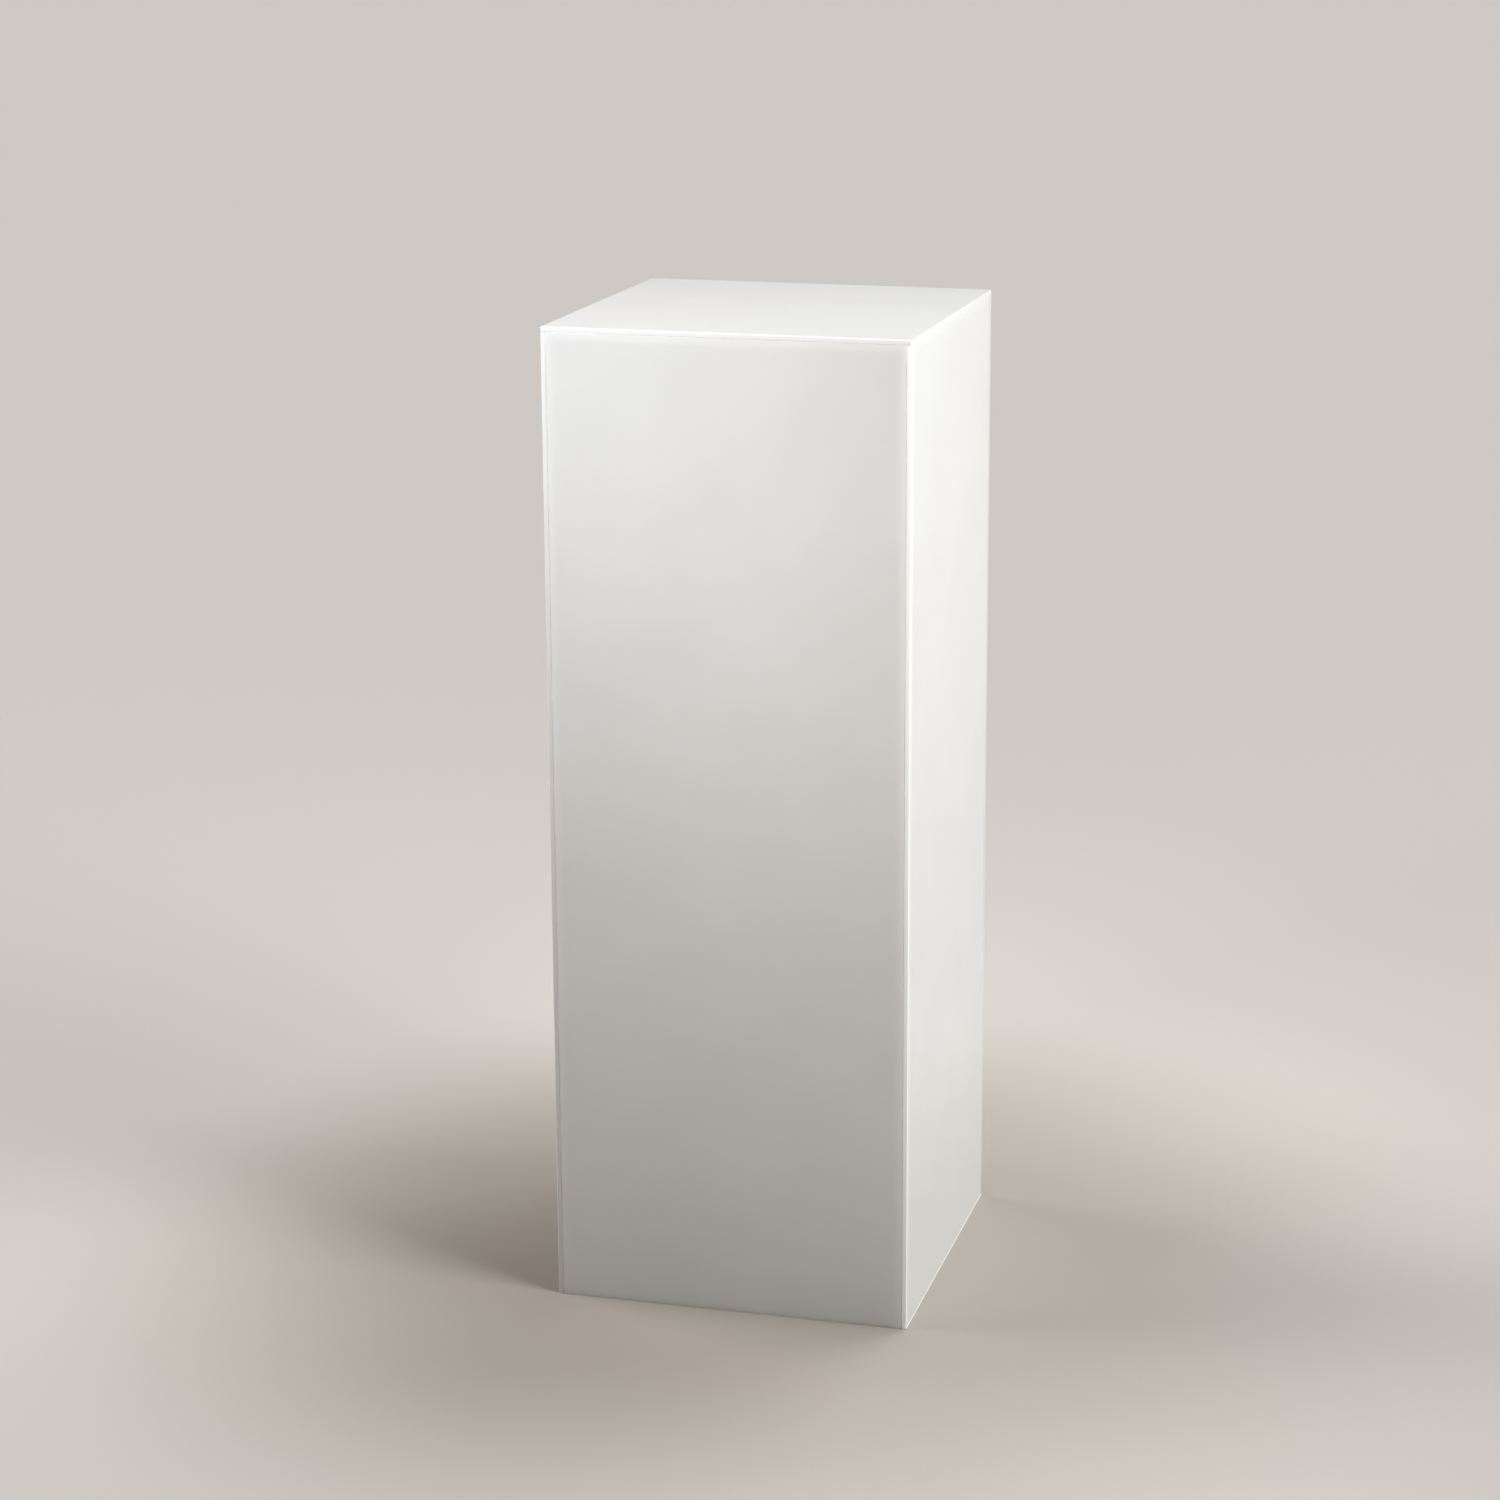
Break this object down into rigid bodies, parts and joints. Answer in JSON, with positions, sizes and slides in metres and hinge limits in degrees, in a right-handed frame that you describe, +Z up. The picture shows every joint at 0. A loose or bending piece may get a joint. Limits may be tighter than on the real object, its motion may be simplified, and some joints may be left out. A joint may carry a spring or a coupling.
{
  "type": "display plinth",
  "caption": "Tall square display plinth in glossy opal acrylic, bonded from cut sheet and open at the base, with clear square bars bonded inside its corners.",
  "frame": {"origin": "on the floor, at the middle of the square footprint", "axes": "+Z up through the display surface, +X to the right and -Y to the front, as someone facing the plinth sees it"},
  "size_m": [0.33, 0.33, 0.9],
  "materials": {
    "opal_acrylic_sheet": "polished",
    "clear_acrylic_bar": "polished"
  },
  "bodies": {
    "root": {"top_panel": "opal_acrylic_sheet", "front_panel": "opal_acrylic_sheet", "back_panel": "opal_acrylic_sheet", "left_side_panel": "opal_acrylic_sheet", "right_side_panel": "opal_acrylic_sheet", "front_left_corner_bar": "clear_acrylic_bar", "front_right_corner_bar": "clear_acrylic_bar", "back_left_corner_bar": "clear_acrylic_bar", "back_right_corner_bar": "clear_acrylic_bar", "front_top_bar": "clear_acrylic_bar", "back_top_bar": "clear_acrylic_bar", "left_top_bar": "clear_acrylic_bar", "right_top_bar": "clear_acrylic_bar"}
  },
  "joints": []
}
